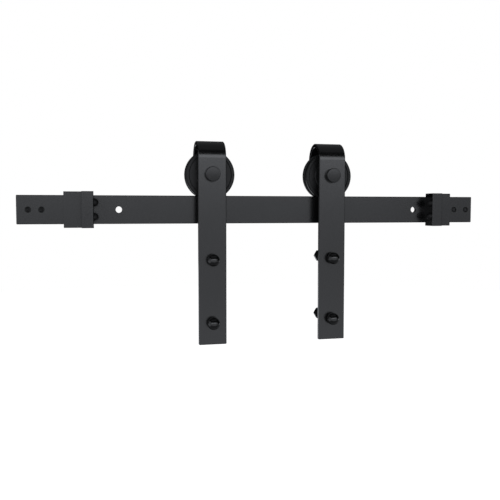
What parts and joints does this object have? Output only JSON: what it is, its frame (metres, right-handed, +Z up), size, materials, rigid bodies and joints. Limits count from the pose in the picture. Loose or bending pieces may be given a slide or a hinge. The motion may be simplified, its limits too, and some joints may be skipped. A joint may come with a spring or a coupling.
{
  "type": "barn door track",
  "caption": "Flat bar sliding-door rail with a clamped end stop near each end and J-shaped strap hangers, each on a grooved wheel that rolls along the rail's top edge.",
  "frame": {"origin": "midway between the two wall bolt holes, on the rail's back face, which lies against the wall spacers", "axes": "+X along the rail, to the right as seen from the room; +Y into the wall; +Z up"},
  "size_m": [0.6869, 0.0804, 0.2906],
  "materials": {
    "rail_coat": "satin black powder coat on flat steel bar",
    "strap_coat": "satin black powder coat on bent flat steel",
    "black_fastener": "satin black finish on turned and forged steel",
    "wheel_nylon": "turned black nylon",
    "bearing_steel": "ground bearing steel",
    "rubber": "moulded black rubber"
  },
  "bodies": {
    "rail_assembly": {"rail": "rail_coat", "left_stop_body": "rail_coat", "left_stop_bumpers": "rubber", "left_stop_set_screws": "black_fastener", "right_stop_body": "rail_coat", "right_stop_bumpers": "rubber", "right_stop_set_screws": "black_fastener"},
    "left_hanger": {"left_strap": "strap_coat", "left_axle_bolt": "black_fastener", "left_axle_washer": "black_fastener", "left_axle_nut": "black_fastener", "left_front_spacer": "black_fastener", "left_rear_spacer": "black_fastener", "left_bearing_inner_race": "bearing_steel", "left_door_bolts": "black_fastener", "left_cap_nuts": "black_fastener"},
    "left_roller": {"left_wheel": "wheel_nylon", "left_bearing_outer_race": "bearing_steel", "left_bearing_shields": "bearing_steel"},
    "left_ball_set": {"left_bearing_balls": "bearing_steel", "left_bearing_cage": "bearing_steel"},
    "right_hanger": {"right_strap": "strap_coat", "right_axle_bolt": "black_fastener", "right_axle_washer": "black_fastener", "right_axle_nut": "black_fastener", "right_front_spacer": "black_fastener", "right_rear_spacer": "black_fastener", "right_bearing_inner_race": "bearing_steel", "right_door_bolts": "black_fastener", "right_cap_nuts": "black_fastener"},
    "right_roller": {"right_wheel": "wheel_nylon", "right_bearing_outer_race": "bearing_steel", "right_bearing_shields": "bearing_steel"},
    "right_ball_set": {"right_bearing_balls": "bearing_steel", "right_bearing_cage": "bearing_steel"}
  },
  "joints": [
    {"name": "left_hanger_slide", "type": "slide", "parent": "rail_assembly", "child": "left_hanger", "axis": [1, 0, 0], "range_m": [-0.1365, 0.0535]},
    {"name": "left_wheel_spin", "type": "hinge", "parent": "left_hanger", "child": "left_roller", "pos_m": [-0.09615, -0.003, 0.05], "axis": [0, 1, 0], "continuous": true},
    {"name": "left_ball_set_spin", "type": "hinge", "parent": "left_hanger", "child": "left_ball_set", "pos_m": [-0.09615, -0.003, 0.05], "axis": [0, 1, 0], "continuous": true},
    {"name": "right_hanger_slide", "type": "slide", "parent": "rail_assembly", "child": "right_hanger", "axis": [1, 0, 0], "range_m": [-0.0535, 0.1356]},
    {"name": "right_wheel_spin", "type": "hinge", "parent": "right_hanger", "child": "right_roller", "pos_m": [0.08295, -0.003, 0.05], "axis": [0, 1, 0], "continuous": true},
    {"name": "right_ball_set_spin", "type": "hinge", "parent": "right_hanger", "child": "right_ball_set", "pos_m": [0.08295, -0.003, 0.05], "axis": [0, 1, 0], "continuous": true}
  ],
  "couplings": [
    {"joint": "left_wheel_spin", "follows": "left_hanger_slide", "rad_per_m": 33.333},
    {"joint": "left_ball_set_spin", "follows": "left_hanger_slide", "rad_per_m": 21.212},
    {"joint": "right_wheel_spin", "follows": "right_hanger_slide", "rad_per_m": 33.333},
    {"joint": "right_ball_set_spin", "follows": "right_hanger_slide", "rad_per_m": 21.212}
  ]
}
